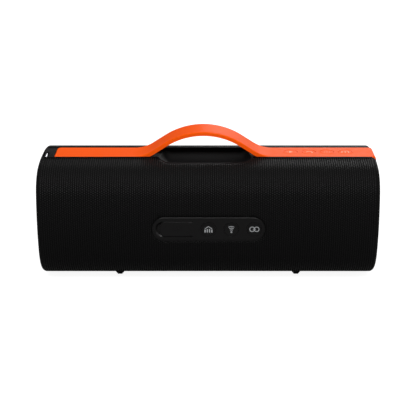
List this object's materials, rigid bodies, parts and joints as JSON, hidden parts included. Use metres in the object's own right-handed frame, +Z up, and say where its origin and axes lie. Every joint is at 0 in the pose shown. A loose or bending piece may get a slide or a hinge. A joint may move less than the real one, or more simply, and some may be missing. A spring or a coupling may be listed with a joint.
{
  "type": "portable bluetooth speaker",
  "caption": "Rounded box speaker in stretched fabric with an arched strap handle, end radiators and a front key panel with a covered charging port.",
  "frame": {"origin": "on the floor plane, at the middle of the foot bottoms, under the middle of the body", "axes": "+X along the length towards the end the strap keys are on, -Y out of the front panel, +Z up"},
  "size_m": [0.3, 0.1072, 0.1334],
  "materials": {
    "knit_fabric": "coarse knit, near black",
    "black_plastic": "fine-grained black",
    "enclosure_plastic": "plain moulded",
    "seal_rubber": "matt",
    "orange_strap": "smooth matt orange",
    "spring_steel": "rolled",
    "polished_steel": "polished",
    "panel_rubber": "matt black",
    "circuit_board": "solder mask",
    "component_plastic": "moulded",
    "battery_wrap": "shrink wrap over metal cells; aluminium matches their density",
    "screw_steel": "black oxide",
    "basket_steel": "painted",
    "magnet_steel": "plated",
    "cone_paper": "pressed pulp",
    "radiator_metal": "anodised"
  },
  "bodies": {
    "housing": {"battery_cells": "battery_wrap", "battery_tray": "enclosure_plastic", "board_components": "component_plastic", "board_screws": "screw_steel", "control_board": "circuit_board", "control_panel": "panel_rubber", "enclosure_front": "enclosure_plastic", "enclosure_gasket": "seal_rubber", "enclosure_rear": "enclosure_plastic", "enclosure_screws": "screw_steel", "end_cap_left": "black_plastic", "end_cap_right": "black_plastic", "end_cap_screws": "screw_steel", "fabric_sleeve": "knit_fabric", "foot_left": "seal_rubber", "foot_right": "seal_rubber", "grille_shell": "black_plastic", "lanyard_pin": "polished_steel", "main_board": "circuit_board", "radiator_frame_left": "basket_steel", "radiator_frame_right": "basket_steel", "radiator_surround_left": "seal_rubber", "radiator_surround_right": "seal_rubber", "strap": "orange_strap", "strap_anchor": "black_plastic", "strap_core": "spring_steel", "strap_key_board": "circuit_board", "strap_screws": "screw_steel", "tact_switches": "component_plastic", "top_tray": "black_plastic", "tray_screws": "screw_steel", "tweeter_frame_left": "enclosure_plastic", "tweeter_frame_right": "enclosure_plastic", "usb_c_socket": "polished_steel", "woofer_basket_left": "basket_steel", "woofer_basket_right": "basket_steel", "woofer_magnet_left": "magnet_steel", "woofer_magnet_right": "magnet_steel", "woofer_screws": "screw_steel", "woofer_surround_left": "seal_rubber", "woofer_surround_right": "seal_rubber"},
    "key_play": {"key_play": "orange_strap"},
    "key_voice": {"key_voice": "orange_strap"},
    "key_light": {"key_light": "orange_strap"},
    "key_volume": {"key_volume": "orange_strap"},
    "key_bass": {"key_bass": "panel_rubber"},
    "key_wireless": {"key_wireless": "panel_rubber"},
    "key_link": {"key_link": "panel_rubber"},
    "woofer_cone_left": {"woofer_cone_left": "cone_paper"},
    "tweeter_dome_left": {"tweeter_dome_left": "cone_paper"},
    "radiator_left": {"radiator_diaphragm_left": "radiator_metal"},
    "woofer_cone_right": {"woofer_cone_right": "cone_paper"},
    "tweeter_dome_right": {"tweeter_dome_right": "cone_paper"},
    "radiator_right": {"radiator_diaphragm_right": "radiator_metal"},
    "port_cover": {"port_cover": "panel_rubber"}
  },
  "joints": [
    {"name": "key_play_travel", "type": "slide", "parent": "housing", "child": "key_play", "axis": [0, 0, -1], "range_m": [0, 0.0005], "stiffness_N_per_m": 900},
    {"name": "key_voice_travel", "type": "slide", "parent": "housing", "child": "key_voice", "axis": [0, 0, -1], "range_m": [0, 0.0005], "stiffness_N_per_m": 900},
    {"name": "key_light_travel", "type": "slide", "parent": "housing", "child": "key_light", "axis": [0, 0, -1], "range_m": [0, 0.0005], "stiffness_N_per_m": 900},
    {"name": "key_volume_travel", "type": "slide", "parent": "housing", "child": "key_volume", "axis": [0, 0, -1], "range_m": [0, 0.0005], "stiffness_N_per_m": 900},
    {"name": "key_bass_travel", "type": "slide", "parent": "housing", "child": "key_bass", "axis": [0, 1, 0], "range_m": [0, 0.0008], "stiffness_N_per_m": 700},
    {"name": "key_wireless_travel", "type": "slide", "parent": "housing", "child": "key_wireless", "axis": [0, 1, 0], "range_m": [0, 0.0008], "stiffness_N_per_m": 700},
    {"name": "key_link_travel", "type": "slide", "parent": "housing", "child": "key_link", "axis": [0, 1, 0], "range_m": [0, 0.0008], "stiffness_N_per_m": 700},
    {"name": "woofer_cone_left_travel", "type": "slide", "parent": "housing", "child": "woofer_cone_left", "axis": [0, 1, 0], "range_m": [-0.002, 0.002], "stiffness_N_per_m": 1500, "deforming": ["woofer_surround_left"]},
    {"name": "tweeter_dome_left_travel", "type": "slide", "parent": "housing", "child": "tweeter_dome_left", "axis": [0, 1, 0], "range_m": [-0.0003, 0.0003], "stiffness_N_per_m": 1000},
    {"name": "radiator_left_travel", "type": "slide", "parent": "housing", "child": "radiator_left", "axis": [-1, 0, 0], "range_m": [-0.003, 0.003], "stiffness_N_per_m": 1200, "deforming": ["radiator_surround_left"]},
    {"name": "woofer_cone_right_travel", "type": "slide", "parent": "housing", "child": "woofer_cone_right", "axis": [0, 1, 0], "range_m": [-0.002, 0.002], "stiffness_N_per_m": 1500, "deforming": ["woofer_surround_right"]},
    {"name": "tweeter_dome_right_travel", "type": "slide", "parent": "housing", "child": "tweeter_dome_right", "axis": [0, 1, 0], "range_m": [-0.0003, 0.0003], "stiffness_N_per_m": 1000},
    {"name": "radiator_right_travel", "type": "slide", "parent": "housing", "child": "radiator_right", "axis": [1, 0, 0], "range_m": [-0.003, 0.003], "stiffness_N_per_m": 1200, "deforming": ["radiator_surround_right"]},
    {"name": "port_cover_hinge", "type": "hinge", "parent": "housing", "child": "port_cover", "pos_m": [-0.01395, -0.0535, 0.05645], "axis": [0, 0, 1], "range_deg": [0, 100]}
  ]
}
